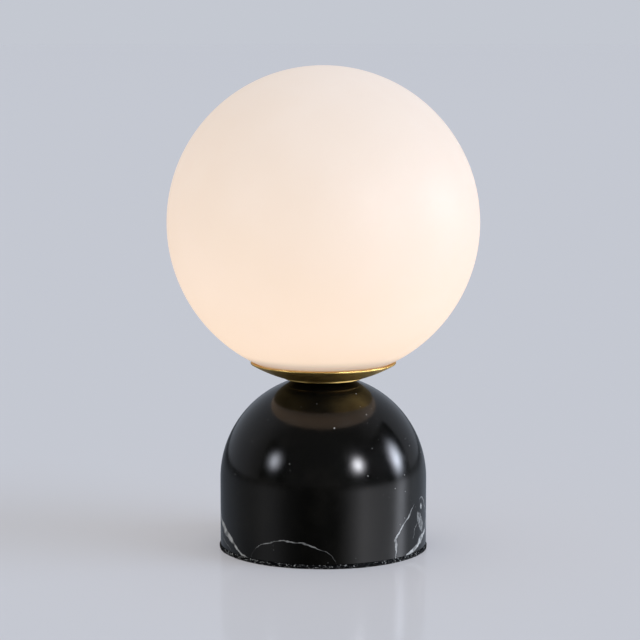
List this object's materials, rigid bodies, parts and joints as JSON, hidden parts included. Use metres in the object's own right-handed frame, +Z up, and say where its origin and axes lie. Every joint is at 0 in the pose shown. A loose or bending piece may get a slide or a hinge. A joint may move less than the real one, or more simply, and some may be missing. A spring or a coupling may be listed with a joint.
{
  "type": "glass globe table lamp",
  "caption": "Small table lamp: an opal glass globe sits in a shallow brass dish on a domed black marble base; the globe lifts off and the bulb pulls out.",
  "frame": {"origin": "centre of the foot pad's underside, on the desk", "axes": "+Z up along the lamp's axis, +Y to the rear where the cord leaves, -Y to the front"},
  "size_m": [0.15, 0.15, 0.233],
  "materials": {
    "black_marble": "polished",
    "opal_glass": "satin",
    "bright_brass": "polished",
    "black_foam": "matte",
    "clear_silicone": "satin",
    "black_rubber": "satin",
    "zinc_steel": "satin",
    "spring_steel": "satin",
    "white_ceramic": "matte",
    "nickel": "satin",
    "white_plastic": "satin",
    "natural_plastic": "satin",
    "black_plastic": "satin",
    "brown_insulation": "satin",
    "blue_insulation": "satin",
    "frosted_cover": "satin",
    "led_yellow": "satin",
    "board_white": "satin",
    "driver_black": "satin"
  },
  "bodies": {
    "base": {"marble_base": "black_marble", "foot_pad": "black_foam", "base_cover_plate": "zinc_steel", "cover_screws": "zinc_steel", "marble_inserts": "bright_brass", "cord_grommet": "black_rubber", "terminal_block": "natural_plastic", "terminal_clamps": "bright_brass", "terminal_screws": "zinc_steel", "terminal_fixing_screw": "zinc_steel", "terminal_fixing_nut": "zinc_steel", "threaded_tube": "zinc_steel", "base_washer": "zinc_steel", "lock_washer": "zinc_steel", "base_nut": "zinc_steel", "tube_bush_lower": "black_plastic", "tube_bush_upper": "black_plastic", "foot_disc": "bright_brass", "brass_dish": "bright_brass", "globe_seat_ring": "clear_silicone", "spring_plate": "zinc_steel", "globe_springs": "spring_steel", "spring_rivets": "zinc_steel", "fitter_washer": "zinc_steel", "fitter_nut": "zinc_steel", "holder_bracket": "zinc_steel", "bracket_nut": "zinc_steel", "lampholder_cover": "white_ceramic", "lampholder_body": "white_ceramic", "lampholder_contacts": "nickel", "lampholder_screws": "zinc_steel", "wire_live": "brown_insulation", "wire_neutral": "blue_insulation"},
    "globe": {"glass_globe": "opal_glass"},
    "bulb": {"bulb_base": "white_plastic", "bulb_cover": "frosted_cover", "bulb_pins": "nickel", "bulb_board": "board_white", "bulb_leds": "led_yellow", "bulb_driver": "driver_black"}
  },
  "joints": [
    {"name": "globe_lift", "type": "slide", "parent": "base", "child": "globe", "axis": [0, 0, 1], "range_m": [0, 0.1]},
    {"name": "bulb_pull", "type": "slide", "parent": "base", "child": "bulb", "axis": [0, 0, 1], "range_m": [0, 0.02]}
  ]
}
